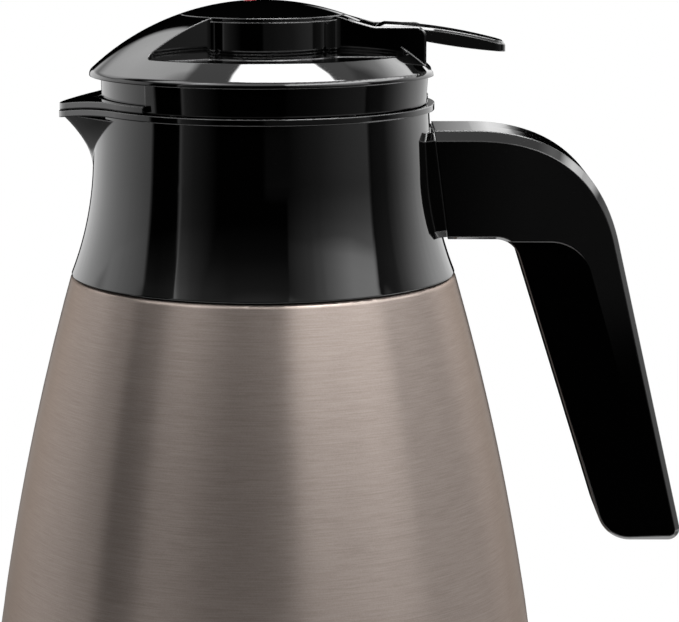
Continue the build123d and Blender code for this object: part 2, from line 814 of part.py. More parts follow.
with BuildPart() as stopper_barrel:
    with BuildSketch(Plane.XZ):
        with BuildLine():
            Polyline(
                (barrel_r - barrel_wall, lid_z),
                (barrel_r, lid_z),
                (barrel_r, flange_z + barrel_flange),
                (barrel_flange_r, flange_z + barrel_flange),
                (barrel_flange_r, flange_z),
                (barrel_r, flange_z),
                (barrel_r, barrel_foot_z + barrel_bevel),
                (barrel_r - barrel_bevel, barrel_foot_z),
                (port_r, barrel_foot_z),
                (port_r, barrel_foot_z + barrel_floor),
                (barrel_r - barrel_wall, barrel_foot_z + barrel_floor),
                close=True,
            )
        make_face()
    revolve(axis=Axis.Z)
    # Windows that let the drink out to the spout
    with BuildSketch(Plane.YZ):
        with Locations((0, (flange_z + barrel_flange + lid_z) / 2)):
            RectangleRounded(window_width, window_height, window_corner_r)
    window_sketch = extrude(amount=-2 * barrel_r, mode=Mode.PRIVATE)
    for turn in (-window_turn, 0, window_turn):
        add(window_sketch.rotate(Axis.Z, turn), mode=Mode.SUBTRACT)

with BuildPart() as stopper_seal:
    with BuildSketch(Plane.XZ):
        with BuildLine():
            seal_low = bowl_z + seat_gap
            Polyline(
                (barrel_r + seat_gap, seal_low),
                (stopper_seal_r - stopper_seal_bevel, seal_low),
                (stopper_seal_r, seal_low + stopper_seal_thickness / 2),
                (stopper_seal_r - stopper_seal_bevel, seal_low + stopper_seal_thickness),
                (barrel_r + seat_gap, seal_low + stopper_seal_thickness),
                close=True,
            )
        make_face()
    revolve(axis=Axis.Z)

# ---- Lid: cover ------------------------------------------------------------------

knob_top_z = dome_z(knob_r) - cap_edge
pocket_floor_z = dome_z(pocket_r) - pocket_depth
cavity_top_z = pocket_floor_z - cover_wall
housing_top_z = dome_top_z - housing_top_drop


def bridge_y(x, inset=0.0):
    """Half width of the bridge over the front, at x."""
    return bridge_root_y - bridge_flare * (x + 10) - inset


def raised_plan(inset=0.0, mode=Mode.ADD):
    """Plan of the knob with its front bridge and rear housing."""
    front_x = -pocket_r - 1
    Circle(knob_r - inset, mode=mode)
    Polygon(
        (0, bridge_y(0, inset)),
        (front_x, bridge_y(front_x, inset)),
        (front_x, -bridge_y(front_x, inset)),
        (0, -bridge_y(0, inset)),
        align=None,
        mode=mode,
    )
    housing_size = (housing_reach - inset, housing_width - 2 * inset)
    Rectangle(*housing_size, align=(Align.MIN, Align.CENTER), mode=mode)


def dome_profile(r, inset, low_z):
    """Half section of a dome of radius r, above the height low_z."""
    Polyline((0, dome_z(0, inset)), (0, low_z), (r, low_z), (r, dome_z(r, inset)))
    RadiusArc((r, dome_z(r, inset)), (0, dome_z(0, inset)), -(dome_r - inset))


core_r = skirt_top_r - skirt_wall
with BuildPart() as cover_hollow:
    # The space under the dome: low under the pockets, high in the knob and its wings
    with BuildSketch(Plane.XY.offset(lid_z)):
        Circle(lid_r)
    extrude(amount=cavity_top_z - lid_z)
    with BuildSketch(Plane.XY.offset(cavity_top_z)):
        raised_plan(cover_wall)
    extrude(amount=dome_rise)
    with BuildSketch(Plane.XZ):
        with BuildLine():
            dome_profile(core_r, cover_wall, lid_z)
        make_face()
    revolve(axis=Axis.Z, mode=Mode.INTERSECT)

with BuildPart() as lever_housing:
    # Side walls that the lever lies between
    with BuildSketch(Plane.XZ):
        with BuildLine():
            wall_start_x = knob_r + housing_root_gap
            FilletPolyline(
                (wall_start_x, cavity_top_z),
                (wall_start_x, dome_z(wall_start_x) - housing_edge),
                (slot_front_x + 4.0, housing_top_z),
                (housing_reach, housing_top_z),
                (housing_reach, cavity_top_z),
                radius=(housing_edge, housing_blend_r, housing_corner_r),
            )
            Line((housing_reach, cavity_top_z), (wall_start_x, cavity_top_z))
        make_face()
    extrude(amount=housing_width / 2, both=True)
    wall_edges = lever_housing.faces().filter_by(Axis.Y).edges()
    chamfer(wall_edges.filter_by(lambda e: e.center().Z > pocket_floor_z), housing_edge)

with BuildPart() as lid_cover:
    with BuildSketch(Plane.XZ) as cover_section:
        with BuildLine():
            edge_foot_z = dome_edge_z - cover_edge
            Polyline(
                (0, dome_top_z),
                (0, edge_foot_z),
                (lid_r, edge_foot_z),
                (lid_r, dome_edge_z),
            )
            RadiusArc((lid_r, dome_edge_z), (0, dome_top_z), -dome_r)
        make_face()
        dome_corner = cover_section.vertices().group_by(Axis.X)[-1].sort_by(Axis.Y)[-1]
        fillet(dome_corner, cover_edge_r)
    revolve(axis=Axis.Z)
    # Finger pockets beside the bridge
    with BuildSketch(Plane.XY.offset(pocket_floor_z)) as pockets:
        Circle(pocket_r)
        raised_plan(mode=Mode.SUBTRACT)
        fillet(pockets.vertices(), pocket_corner_r)
    extrude(amount=dome_rise, mode=Mode.SUBTRACT)
    add(lever_housing.part)
    add(cover_hollow.part, mode=Mode.SUBTRACT)
    # Seat for the skirt's top
    with BuildSketch(Plane.XY.offset(edge_foot_z)):
        Circle(skirt_top_r + fit_gap)
    extrude(amount=cover_lip, mode=Mode.SUBTRACT)
    # Slot for the lever, open above and at the rear
    slot_roof_z = dome_z(slot_front_x, cover_wall)
    with BuildSketch(Plane.XY.offset(lid_z)):
        Rectangle(lid_r + 5, lever_slot, align=(Align.MIN, Align.CENTER))
    extrude(amount=slot_roof_z - lid_z, mode=Mode.SUBTRACT)
    with BuildSketch(Plane.XY.offset(lid_z)):
        with Locations((slot_front_x, 0)):
            Rectangle(lid_r, lever_slot, align=(Align.MIN, Align.CENTER))
    extrude(amount=2 * dome_rise, mode=Mode.SUBTRACT)
    # Recess for the cap
    with BuildSketch(Plane.XY.offset(knob_top_z)):
        Circle(knob_r + cap_gap)
    extrude(amount=dome_rise, mode=Mode.SUBTRACT)
    with BuildSketch(Plane.XY.offset(knob_top_z)):
        Circle(knob_r - cover_wall)
    extrude(amount=-cover_wall - cap_edge, mode=Mode.SUBTRACT)
    # Bosses for the screws from the base
    with BuildSketch(Plane.XY.offset(floor_z)):
        with Locations(*lid_screw_places):
            Circle(lid_boss_r)
    extrude(amount=cavity_top_z - floor_z + 0.5)
    with BuildSketch(Plane.XY.offset(floor_z)):
        with Locations(*lid_screw_places):
            Circle(lid_screw_r + fit_gap / 2)
    extrude(amount=lid_screw_length, mode=Mode.SUBTRACT)

with BuildPart() as lid_cap:
    with BuildSketch(Plane.XZ):
        with BuildLine():
            spigot_r = knob_r - cover_wall - fit_gap
            spigot_in_r = spigot_r - cap_spigot_wall
            spigot_foot_z = knob_top_z - cap_spigot
            under_z = dome_z(spigot_in_r, cover_wall)
            Polyline(
                (spigot_in_r, under_z),
                (spigot_in_r, spigot_foot_z),
                (spigot_r, spigot_foot_z),
                (spigot_r, knob_top_z),
                (knob_r, knob_top_z),
                (knob_r, dome_z(knob_r)),
            )
            RadiusArc((knob_r, dome_z(knob_r)), (0, dome_top_z), -dome_r)
            Line((0, dome_top_z), (0, dome_z(0, cover_wall)))
            RadiusArc((0, dome_z(0, cover_wall)), (spigot_in_r, under_z), dome_r - cover_wall)
        make_face()
    revolve(axis=Axis.Z)
    with BuildSketch(Plane.XY.offset(dome_top_z)):
        with Locations((mark_x, 0)):
            Circle(mark_r + fit_gap / 2)
    extrude(amount=-cover_edge, mode=Mode.SUBTRACT)

with BuildPart() as index_mark:
    with BuildSketch(Plane.XY.offset(dome_top_z - cover_edge)):
        with Locations((mark_x, 0)):
            Circle(mark_r)
    extrude(amount=cover_edge + dome_z(abs(mark_x)) - dome_top_z)

with BuildPart() as lid_screws:
    with BuildSketch(Plane.XY.offset(lid_z)):
        with Locations(*lid_screw_places):
            Circle(lid_screw_head_r)
    extrude(amount=-lid_screw_head_height)
    with BuildSketch(Plane.XY.offset(lid_z)):
        with Locations(*lid_screw_places):
            Circle(lid_screw_r)
    extrude(amount=lid_screw_length)
    with BuildSketch(Plane.XY.offset(lid_z - lid_screw_head_height)):
        with Locations(*lid_screw_places):
            Rectangle(lid_screw_head_r * 1.2, 0.7)
            Rectangle(0.7, lid_screw_head_r * 1.2)
    extrude(amount=lid_screw_head_height / 2, mode=Mode.SUBTRACT)

# ---- Lid: rocker -------------------------------------------------------------------

button_z = floor_z + button_rise
nose_z = button_z + button_thickness + seat_gap
arm_z = floor_z + flap_gap
tongue_z = arm_z + arm_thickness
crest_x = slot_front_x + lever_crest
crest_z = housing_top_z + lever_crest_rise
beam_z = crest_z - lever_beam

with BuildPart() as lever:
    with BuildSketch(Plane.XZ):
        with BuildLine():
            tip_top = (lever_reach, dome_top_z - lever_tip_drop)
            tip_low = (lever_reach, tip_top[1] - lever_tip_thickness)
            SagittaArc((crest_x, crest_z), tip_top, lever_sagitta)
            Line(tip_top, tip_low)
            SagittaArc(tip_low, (housing_reach, beam_z), lever_sagitta / 3)
            Polyline(
                (housing_reach, beam_z),
                (crest_x, beam_z),
                (pivot_x + 2 * hub_r, pivot_z + pin_r + pin_gap + 0.6),
                (pivot_x, pivot_z - pin_r),
                (pivot_x, pivot_z + hub_r),
                (slot_front_x, slot_roof_z - 4 * seat_gap),
                (crest_x, crest_z),
            )
        make_face()
    extrude(amount=lever_width / 2, both=True)
    # Plan: straight between the walls, then narrower to a rounded tip
    with BuildSketch(Plane.XY.offset(pivot_z - 10)):
        with BuildLine():
            half_root = lever_width / 2
            half_tip = lever_tip_width / 2
            Polyline((lever_reach, -half_tip), (housing_reach, -half_root), (pivot_x, -half_root))
            Line((pivot_x, -half_root), (pivot_x, half_root))
            Polyline((pivot_x, half_root), (housing_reach, half_root), (lever_reach, half_tip))
            Line((lever_reach, half_tip), (lever_reach, -half_tip))
        make_face()
        fillet(vertices().sort_by(Axis.X)[-2:], lever_tip_r)
    extrude(amount=40, mode=Mode.INTERSECT)
    rim_edges = lever.edges().filter_by(lambda e: e.center().X > housing_reach)
    chamfer(rim_edges.group_by(Axis.Z)[-1:], lever_edge)
    # Hub, tongue and the nose that presses the valve
    with Locations((pivot_x, 0, pivot_z)):
        Cylinder(hub_r, lever_width, rotation=(90, 0, 0))
    with BuildSketch(Plane.XY.offset(tongue_z)):
        with Locations((pivot_x, 0)):
            Rectangle(tongue_reach, arm_width - 2, align=(Align.MAX, Align.CENTER))
    extrude(amount=tongue_thickness)
    with Locations((0, 0, nose_z + nose_r)):
        Cylinder(nose_r, 2 * stem_r + 2, rotation=(90, 0, 0))
    with Locations((pivot_x, 0, pivot_z)):
        Cylinder(pin_r + pin_gap, 2 * lever_width, rotation=(90, 0, 0), mode=Mode.SUBTRACT)
    with BuildSketch(Plane.XY.offset(tongue_z)):
        with Locations(*flap_screw_places):
            Circle(flap_screw_r + fit_gap)
    extrude(amount=tongue_thickness, mode=Mode.SUBTRACT)

with BuildPart() as spout_flap:
    # The plate over the spout, shaped like the rim below it
    with BuildSketch(Plane.XY.offset(rim_z - 8)):
        spout_outline(rim_r - flap_inset, spout_reach - flap_inset, spout_nose_r - flap_inset)
        Circle(flap_inner_r, mode=Mode.SUBTRACT)
        with Locations((skirt_cut_x - flap_gap, 0)):
            Rectangle(
                2 * lid_r, 2 * lid_r, align=(Align.MAX, Align.CENTER), mode=Mode.INTERSECT
            )
    extrude(amount=12)
    with BuildSketch(Plane.XZ):
        with BuildLine():
            plate_top_z = rim_z + flap_gap + flap_thickness
            rim_band(flap_inner_r - 1, plate_top_z, flap_thickness, spout_reach + 5)
        make_face()
    revolve(axis=Axis.Z, mode=Mode.INTERSECT)
    # The arm that carries it, stepping up over the lid's floor
    with BuildSketch(Plane.XZ):
        with BuildLine():
            plate_low_z = rim_z + flap_gap
            arm_root_x = -(flap_inner_r + 1.6)
            arm_rear_x = pivot_x - hub_r - seat_gap
            Polyline(
                (arm_root_x, plate_low_z),
                (arm_root_x, plate_top_z - 0.1),
                (arm_root_x + 2.6, plate_top_z + 0.4),
                (arm_root_x + 6.2, tongue_z),
                (arm_rear_x, tongue_z),
                (arm_rear_x, arm_z),
                (arm_root_x + 5.5, arm_z),
                (arm_root_x + 3.0, plate_low_z),
                close=True,
            )
        make_face()
    extrude(amount=arm_width / 2, both=True)
    with BuildSketch(Plane.XY.offset(arm_z)):
        with Locations(*flap_screw_places):
            Circle(flap_screw_r + fit_gap / 2)
    extrude(amount=arm_thickness, mode=Mode.SUBTRACT)

with BuildPart() as flap_screws:
    with BuildSketch(Plane.XY.offset(tongue_z + tongue_thickness)):
        with Locations(*flap_screw_places):
            Circle(flap_screw_head_r)
    extrude(amount=flap_screw_head_height)
    with BuildSketch(Plane.XY.offset(arm_z)):
        with Locations(*flap_screw_places):
            Circle(flap_screw_r)
    extrude(amount=arm_thickness + tongue_thickness)
    with BuildSketch(Plane.XY.offset(tongue_z + tongue_thickness + flap_screw_head_height)):
        with Locations(*flap_screw_places):
            Rectangle(flap_screw_head_r * 1.2, 0.6)
            Rectangle(0.6, flap_screw_head_r * 1.2)
    extrude(amount=-flap_screw_head_height / 2, mode=Mode.SUBTRACT)

with BuildPart() as pivot_pin:
    pin_length = lever_slot + 2 * ear_thickness
    with Locations((pivot_x, 0, pivot_z)):
        Cylinder(pin_r, pin_length, rotation=(90, 0, 0))
    chamfer(pivot_pin.edges().filter_by(GeomType.CIRCLE), 0.3)

# ---- Lid: pour valve ---------------------------------------------------------------

valve_top_z = barrel_foot_z - seat_gap - valve_seal_proud
valve_foot_z = valve_top_z - valve_thickness

with BuildPart() as valve_button:
    with BuildSketch(Plane.XY.offset(button_z)):
        Circle(button_r)
    extrude(amount=button_thickness)
    fillet(valve_button.edges().group_by(Axis.Z)[-1], 0.6)
    with BuildSketch(Plane.XY.offset(button_z)):
        Circle(spring_r - spring_wire)
    extrude(amount=-button_spigot)
    with BuildSketch(Plane.XY.offset(button_z + button_thickness / 2)):
        Circle(stem_r + fit_gap / 2)
    extrude(amount=-button_thickness - button_spigot, mode=Mode.SUBTRACT)

with BuildPart() as valve_stem:
    stem_top_z = button_z + button_thickness / 2
    with BuildSketch(Plane.XY.offset(valve_foot_z - nut_height - stem_tail)):
        Circle(stem_r)
    extrude(amount=stem_top_z - valve_foot_z + nut_height + stem_tail)
    chamfer(valve_stem.edges().group_by(Axis.Z)[0], 0.4)

with BuildPart() as valve_head:
    with BuildSketch(Plane.XZ):
        with BuildLine():
            cone_r = port_r - valve_port_gap
            seal_in = port_r + seat_gap
            seal_out = seal_in + valve_seal_width
            groove_z = valve_top_z + valve_seal_proud - valve_seal_thickness
            Polyline(
                (stem_r + fit_gap / 2, valve_foot_z),
                (stem_r + fit_gap / 2, valve_top_z + valve_cone),
                (nut_r, valve_top_z + valve_cone),
                (cone_r, valve_top_z),
                (seal_in, valve_top_z),
                (seal_in, groove_z),
                (seal_out, groove_z),
                (seal_out, valve_top_z),
                (valve_r, valve_top_z),
                (valve_r, valve_foot_z + valve_bevel),
                (valve_r - valve_bevel, valve_foot_z),
                close=True,
            )
        make_face()
    revolve(axis=Axis.Z)

with BuildPart() as valve_seal:
    with BuildSketch(Plane.XZ):
        with BuildLine():
            Polyline(
                (seal_in, groove_z),
                (seal_out, groove_z),
                (seal_out, groove_z + valve_seal_thickness),
                (seal_in, groove_z + valve_seal_thickness),
                close=True,
            )
        make_face()
    revolve(axis=Axis.Z)

with BuildPart() as valve_nut:
    with BuildSketch(Plane.XY.offset(valve_foot_z)):
        RegularPolygon(nut_r, 6)
        Circle(stem_r + fit_gap / 2, mode=Mode.SUBTRACT)
    extrude(amount=-nut_height)

with BuildPart() as valve_spring:
    coil_height = button_z - port_top_z - spring_wire - fit_gap
    coil_foot_z = port_top_z + spring_wire / 2 + fit_gap / 2
    with BuildLine():
        coil = Helix(
            pitch=coil_height / spring_turns,
            height=coil_height,
            radius=spring_r,
            center=(0, 0, coil_foot_z),
        )
    with BuildSketch(Plane(origin=coil @ 0, z_dir=coil % 0)):
        Circle(spring_wire / 2)
    sweep()

# ---- Pieces ------------------------------------------------------------------------

pieces = {
    "outer_shell": outer_shell,
    "base_plate": base_plate,
    "vacuum_seal_plug": vacuum_seal_plug,
    "getter": getter,
    "base_pad": base_pad,
    "inner_flask": inner_flask,
    "neck_gasket": neck_gasket,
    "lock_ring": lock_ring,
    "collar": collar,
    "handle": handle,
    "grip_cover": grip_cover,
    "handle_screws": handle_screws,
    "stopper_seal": stopper_seal,
    "lid_base": lid_base,
    "stopper_barrel": stopper_barrel,
    "stem_seal": stem_seal,
    "lid_cover": lid_cover,
    "lid_cap": lid_cap,
    "index_mark": index_mark,
    "lid_screws": lid_screws,
    "pivot_pin": pivot_pin,
    "lever": lever,
    "spout_flap": spout_flap,
    "flap_screws": flap_screws,
    "valve_button": valve_button,
    "valve_stem": valve_stem,
    "valve_head": valve_head,
    "valve_seal": valve_seal,
    "valve_nut": valve_nut,
    "valve_spring": valve_spring,
}

os.makedirs("parts", exist_ok=True)
for name, piece in pieces.items():
    piece.part.label = name
    export_step(piece.part, f"parts/{name}.step")
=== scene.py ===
"""Thermal carafe with a press-lever lid: finishes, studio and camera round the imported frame."""
import json
from math import cos, pi, radians, sin

import bmesh
import bpy
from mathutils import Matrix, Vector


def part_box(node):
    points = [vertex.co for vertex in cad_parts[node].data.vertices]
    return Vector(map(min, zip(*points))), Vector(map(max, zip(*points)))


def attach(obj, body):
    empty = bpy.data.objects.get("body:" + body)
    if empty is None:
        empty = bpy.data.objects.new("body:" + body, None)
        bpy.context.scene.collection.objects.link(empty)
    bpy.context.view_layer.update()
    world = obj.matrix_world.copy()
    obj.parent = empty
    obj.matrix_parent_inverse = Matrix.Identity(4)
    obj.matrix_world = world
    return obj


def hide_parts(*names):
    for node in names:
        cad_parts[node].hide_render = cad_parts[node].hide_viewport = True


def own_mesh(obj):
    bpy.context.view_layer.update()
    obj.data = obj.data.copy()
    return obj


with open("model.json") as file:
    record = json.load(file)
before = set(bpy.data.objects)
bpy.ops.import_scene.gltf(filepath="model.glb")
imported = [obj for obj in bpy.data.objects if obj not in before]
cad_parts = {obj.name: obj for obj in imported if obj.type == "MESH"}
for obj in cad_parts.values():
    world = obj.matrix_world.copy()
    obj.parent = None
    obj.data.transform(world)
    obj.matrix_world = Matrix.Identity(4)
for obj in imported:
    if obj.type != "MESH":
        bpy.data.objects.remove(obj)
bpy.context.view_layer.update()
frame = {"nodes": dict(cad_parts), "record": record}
nodes = frame["nodes"]
scene = bpy.context.scene
MM = 0.001

# ---- Helpers ------------------------------------------------------------------------


def linear(hex_colour):
    """sRGB hex to linear RGBA."""
    parts = [int(hex_colour[i : i + 2], 16) / 255 for i in (1, 3, 5)]
    curve = [c / 12.92 if c <= 0.04045 else ((c + 0.055) / 1.055) ** 2.4 for c in parts]
    return (*curve, 1.0)


def add(tree, kind, inputs=None, **settings):
    """Adds a node, sets its properties, and sets or links its inputs. A node given for an
    input is linked by its first output."""
    made = tree.nodes.new("ShaderNode" + kind)
    for name, value in settings.items():
        setattr(made, name, value)
    for name, value in (inputs or {}).items():
        socket = made.inputs[name]
        if isinstance(value, bpy.types.Node):
            value = value.outputs[0]
        if isinstance(value, bpy.types.NodeSocket):
            tree.links.new(value, socket)
        else:
            socket.default_value = value
    return made


def new_material(name):
    """An empty material, and the node tree to build it in."""
    material = bpy.data.materials.new(name)
    material.use_nodes = True
    material.node_tree.nodes.clear()
    return material, material.node_tree


# ---- Moulded plastic and rubber -----------------------------------------------------

GLOSS_IOR = 1.8             # ABS is near 1.53, but this one throws back more light
EDGE_RADIUS = 0.55 * MM     # a sharp edge catches the light as if it were rounded by this
EDGE_SAMPLES = 8
HAZE_SIZE = 9 * MM          # width of a patch of haze
HAZE_START = 0.35           # noise at which a patch begins
HAZE_FULL = 0.75
HAZE_GAIN = 1.8             # a full haze is this much rougher
SATIN_IOR = 1.49            # polypropylene, with silicone and rubber near it
GRAIN_HEIGHT = 0.15         # share of the grain's width
GRAIN_STRENGTH = 0.5
GRAIN_SPREAD = 0.15         # share by which the roughness varies with the grain


def moulded_gloss(name, colour, roughness, ripple_mm, ripple_height_mm):
    """Plastic out of a polished tool: sharp reflections on a skin that ripples a little
    where the melt shrank, with a faint haze of handling."""
    material, tree = new_material(name)
    place = add(tree, "TexCoord").outputs["Object"]
    ripple_scale = 1 / (ripple_mm * MM)
    ripple = add(tree, "TexNoise", {"Vector": place, "Scale": ripple_scale, "Detail": 1.0})
    edge = add(tree, "Bevel", {"Radius": EDGE_RADIUS}, samples=EDGE_SAMPLES)
    skin = add(
        tree,
        "Bump",
        {"Height": ripple, "Strength": 1.0, "Distance": ripple_height_mm * MM, "Normal": edge},
    )
    haze = add(tree, "TexNoise", {"Vector": place, "Scale": 1 / HAZE_SIZE, "Detail": 5.0})
    haze_roughness = add(
        tree,
        "MapRange",
        {
            "Value": haze,
            "From Min": HAZE_START,
            "From Max": HAZE_FULL,
            "To Min": roughness,
            "To Max": roughness * HAZE_GAIN,
        },
    )
    plastic = add(
        tree,
        "BsdfPrincipled",
        {
            "Base Color": linear(colour),
            "Roughness": haze_roughness,
            "IOR": GLOSS_IOR,
            "Normal": skin,
        },
    )
    add(tree, "OutputMaterial", {"Surface": plastic})
    return material


def moulded_satin(name, colour, roughness, grain_mm):
    """Plastic or rubber out of a spark-eroded tool: dull, with a fine even grain, as
    pressed powder has too."""
    material, tree = new_material(name)
    place = add(tree, "TexCoord").outputs["Object"]
    grain_scale = 1 / (grain_mm * MM)
    grain = add(tree, "TexNoise", {"Vector": place, "Scale": grain_scale, "Detail": 3.0})
    skin = add(
        tree,
        "Bump",
        {
            "Height": grain,
            "Strength": GRAIN_STRENGTH,
            "Distance": grain_mm * MM * GRAIN_HEIGHT,
        },
    )
    grain_roughness = add(
        tree,
        "MapRange",
        {
            "Value": grain,
            "To Min": roughness * (1 - GRAIN_SPREAD),
            "To Max": roughness * (1 + GRAIN_SPREAD),
        },
    )
    plastic = add(
        tree,
        "BsdfPrincipled",
        {
            "Base Color": linear(colour),
            "Roughness": grain_roughness,
            "IOR": SATIN_IOR,
            "Normal": skin,
        },
    )
    add(tree, "OutputMaterial", {"Surface": plastic})
    return material


# ---- Brushed steel ------------------------------------------------------------------

LINE_LENGTH = 24 * MM       # one brush line, along the belt
SCRATCH_SHORTER = 4         # the short scratches between the lines, against the lines
SCRATCH_FINER = 1.3
SPECK_SIZE = 0.35 * MM      # the metal's own grain, drawn coarse enough to show
SPECK_SHARE = 0.35
TINT_START = 0.36           # pattern values that get the first and the second colour
TINT_FULL = 0.64
BRUSH_START = 0.3           # pattern values with the least and the most roughness
BRUSH_FULL = 0.7
BRUSH_SPREAD = 0.05         # share by which the roughness varies with the lines
BRUSH_HEIGHT = 0.02 * MM
BRUSH_STRENGTH = 0.15
QUARTER_TURN = 0.25         # the highlight is stretched across the lines
GLANCING_TINT = "#b8b2ad"   # seen flat along the surface the steel keeps its warm grey


def brushed_steel(name, colours, roughness, anisotropy, line_mm):
    """Stainless steel brushed round its axis: fine level lines that spread a reflection
    up and down and keep it narrow from side to side. They are drawn wider than the real
    ones, so that they show."""
    material, tree = new_material(name)
    place = add(tree, "TexCoord").outputs["Object"]
    along = 1 / LINE_LENGTH
    across = 1 / (line_mm * MM)
    patterns = []
    for shorter, finer, detail in ((1, 1, 1.0), (SCRATCH_SHORTER, SCRATCH_FINER, 0.0)):
        scale = (along * shorter, along * shorter, across * finer)
        stretch = add(tree, "Mapping", {"Vector": place, "Scale": scale}, vector_type="POINT")
        noise = {"Vector": stretch, "Scale": 1.0, "Detail": detail}
        patterns.append(add(tree, "TexNoise", noise))
    lines, scratches = patterns
    brushing = add(
        tree, "Mix", {"Factor": 0.5, "A": lines, "B": scratches}, data_type="FLOAT"
    )
    specks = add(tree, "TexNoise", {"Vector": place, "Scale": 1 / SPECK_SIZE, "Detail": 1.0})
    shade = add(
        tree, "Mix", {"Factor": SPECK_SHARE, "A": brushing, "B": specks}, data_type="FLOAT"
    )
    tint = add(tree, "ValToRGB", {"Fac": shade})
    ends = zip(tint.color_ramp.elements, (TINT_START, TINT_FULL), colours)
    for element, position, colour in ends:
        element.position = position
        element.color = linear(colour)
    brush_roughness = add(
        tree,
        "MapRange",
        {
            "Value": brushing,
            "From Min": BRUSH_START,
            "From Max": BRUSH_FULL,
            "To Min": roughness * (1 - BRUSH_SPREAD),
            "To Max": roughness * (1 + BRUSH_SPREAD),
        },
    )
    skin = add(
        tree,
        "Bump",
        {"Height": brushing, "Strength": BRUSH_STRENGTH, "Distance": BRUSH_HEIGHT},
    )
    round_axis = add(tree, "Tangent", direction_type="RADIAL", axis="Z")
    steel = add(
        tree,
        "BsdfPrincipled",
        {
            "Base Color": tint,
            "Metallic": 1.0,
            "Specular Tint": linear(GLANCING_TINT),
            "Roughness": brush_roughness,
            "Anisotropic": anisotropy,
            "Anisotropic Rotation": QUARTER_TURN,
            "Tangent": round_axis,
            "Normal": skin,
        },
    )
    add(tree, "OutputMaterial", {"Surface": steel})
    return material


# ---- Finishes -----------------------------------------------------------------------

finishes = {
    # stainless steel of the shell, brushed and toned: a warm grey with long level lines
    "steel_shell": brushed_steel("champagne_steel", ("#998d86", "#a89c95"), 0.34, 0.9, 0.3),
    # drawn stainless steel of flask, base plate and plug: pale, with weak, coarser lines
    "steel_plain": brushed_steel("drawn_steel", ("#b9b7b3", "#cbc9c5"), 0.30, 0.4, 0.5),
    # turned or drawn steel of pin, screws, stem, nut and spring: bright and even
    "steel_pin": brushed_steel("bright_steel", ("#cccccc", "#dadada"), 0.18, 0.0, 0.3),
    # ABS from a polished tool, for collar, handle, lid and lever: a black that mirrors
    "black_gloss": moulded_gloss("polished_black_abs", "#020202", 0.035, 22, 0.002),
    # polypropylene from a sparked tool, for lock ring and valve button: dull near-black
    "black_satin": moulded_satin("satin_black_pp", "#161617", 0.42, 0.4),
    # the same plastic in dark grey, for the stopper and the valve's head in the drink
    "inner_plastic": moulded_satin("satin_grey_pp", "#3a3a3c", 0.40, 0.4),
    # moulded silicone: pale grey, soft in its shine
    "seal_silicone": moulded_satin("grey_silicone", "#b9b9b6", 0.48, 0.6),
    # moulded rubber: black and nearly matt
    "pad_rubber": moulded_satin("black_rubber", "#1a1a1a", 0.70, 0.3),
    # pressed and sintered powder: a flat grey, too rough to shine as metal
    "getter_metal": moulded_satin("sintered_getter", "#9a9a9b", 0.60, 0.2),
    # red plastic let into the cap: a little less glossy than the cap
    "mark_red": moulded_gloss("red_inlay", "#b01020", 0.10, 12, 0.001),
}
for subpart in frame["record"]["subparts"]:
    piece = nodes[subpart["node"]]
    piece.data.materials.clear()
    piece.data.materials.append(finishes[subpart["material_slot"]])

# ---- Pour spring --------------------------------------------------------------------

SPRING_WIRE = 1.0 * MM
SPRING_TURNS = 5
SPRING_STEPS = 32           # along one turn
WIRE_SIDES = 12


def coil(low, high):
    """A round wire wound between two corners of a box, with its ends cut flat."""
    radius = (high.x - low.x - SPRING_WIRE) / 2
    rise = high.z - low.z - SPRING_WIRE
    wire = bmesh.new()
    hoops = []
    for step in range(SPRING_TURNS * SPRING_STEPS + 1):
        turn = 2 * pi * step / SPRING_STEPS
        height = low.z + SPRING_WIRE / 2 + rise * step / (SPRING_TURNS * SPRING_STEPS)
        hoop = []
        for side in range(WIRE_SIDES):
            corner = 2 * pi * side / WIRE_SIDES
            reach = radius + SPRING_WIRE / 2 * cos(corner)
            lift = SPRING_WIRE / 2 * sin(corner)
            hoop.append(wire.verts.new((reach * cos(turn), reach * sin(turn), height + lift)))
        hoops.append(hoop)
    for near, far in zip(hoops, hoops[1:]):
        for side in range(WIRE_SIDES):
            after = (side + 1) % WIRE_SIDES
            wire.faces.new((near[side], near[after], far[after], far[side]))
    wire.faces.new(hoops[0])
    wire.faces.new(hoops[-1])
    bmesh.ops.recalc_face_normals(wire, faces=wire.faces)
    mesh = bpy.data.meshes.new("pour_spring")
    wire.to_mesh(mesh)
    wire.free()
    mesh.polygons.foreach_set("use_smooth", [len(face.vertices) == 4 for face in mesh.polygons])
    return mesh


spring_low, spring_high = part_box("valve_spring")
spring = bpy.data.objects.new("pour_spring", coil(spring_low, spring_high))
scene.collection.objects.link(spring)
spring.data.materials.append(finishes["steel_pin"])
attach(spring, "lid")
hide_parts("valve_spring")
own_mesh(spring)

# ---- Studio -------------------------------------------------------------------------
# The carafe is lit by a studio of bright panels, given by direction, and mirrors them.
# Directions are seen from the carafe, in degrees: azimuth 0 is towards the camera, +90
# on the handle's side and -90 on the spout's side; elevation 0 is level. The eye sees
# plain white behind the carafe instead.

